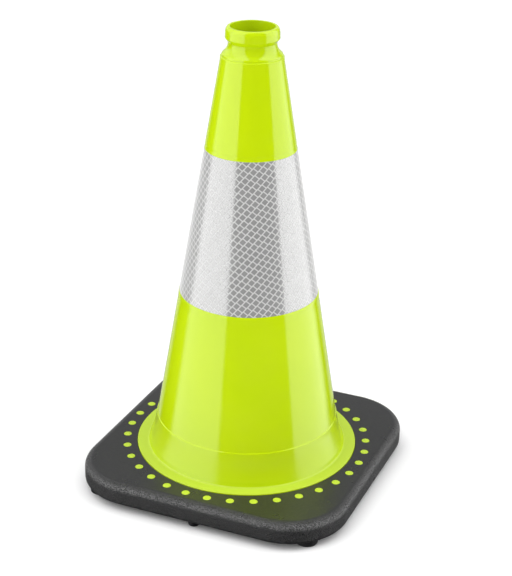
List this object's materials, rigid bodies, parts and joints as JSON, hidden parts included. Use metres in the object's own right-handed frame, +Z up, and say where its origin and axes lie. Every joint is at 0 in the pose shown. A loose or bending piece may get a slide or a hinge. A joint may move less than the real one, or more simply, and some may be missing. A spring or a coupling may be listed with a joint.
{
  "type": "traffic cone",
  "caption": "Lime traffic cone with a white reflective collar on a black square ballast base with small feet, lock pins and a hollow, stackable body.",
  "frame": {"origin": "on the floor, under the cone's axis, at the bottom centre of the whole object", "axes": "+Z up along the cone's axis; +X and +Y square to the sides of the base, with one lock pin on +X"},
  "size_m": [0.2746, 0.2746, 0.4572],
  "materials": {
    "lime_pvc": "fluorescent lime flexible PVC, glossy and smooth, with fine flow marks",
    "black_pvc": "recycled black PVC, satin on top, fine leathery grain on the rounded edges and sides",
    "foot_black": "smooth black flexible PVC, slightly glossy",
    "collar_backing": "plain white film, matt",
    "collar_prismatic": "clear-faced white microprismatic reflective sheeting with a welded diamond lattice"
  },
  "bodies": {
    "root": {"cone_body": "lime_pvc", "ballast_base": "black_pvc", "collar_backing_film": "collar_backing", "collar_prismatic_film": "collar_prismatic", "lock_pin_01": "lime_pvc", "lock_pin_02": "lime_pvc", "lock_pin_03": "lime_pvc", "lock_pin_04": "lime_pvc", "lock_pin_05": "lime_pvc", "lock_pin_06": "lime_pvc", "lock_pin_07": "lime_pvc", "lock_pin_08": "lime_pvc", "lock_pin_09": "lime_pvc", "lock_pin_10": "lime_pvc", "lock_pin_11": "lime_pvc", "lock_pin_12": "lime_pvc", "lock_pin_13": "lime_pvc", "lock_pin_14": "lime_pvc", "lock_pin_15": "lime_pvc", "lock_pin_16": "lime_pvc", "lock_pin_17": "lime_pvc", "lock_pin_18": "lime_pvc", "lock_pin_19": "lime_pvc", "lock_pin_20": "lime_pvc", "lock_pin_21": "lime_pvc", "lock_pin_22": "lime_pvc", "lock_pin_23": "lime_pvc", "lock_pin_24": "lime_pvc", "lock_pin_25": "lime_pvc", "lock_pin_26": "lime_pvc", "lock_pin_27": "lime_pvc", "lock_pin_28": "lime_pvc", "lock_pin_29": "lime_pvc", "lock_pin_30": "lime_pvc", "lock_pin_31": "lime_pvc", "lock_pin_32": "lime_pvc", "lock_pin_33": "lime_pvc", "lock_pin_34": "lime_pvc", "corner_foot_1": "foot_black", "corner_foot_2": "foot_black", "corner_foot_3": "foot_black", "corner_foot_4": "foot_black", "side_foot_1": "foot_black", "side_foot_2": "foot_black", "side_foot_3": "foot_black", "side_foot_4": "foot_black"}
  },
  "joints": []
}
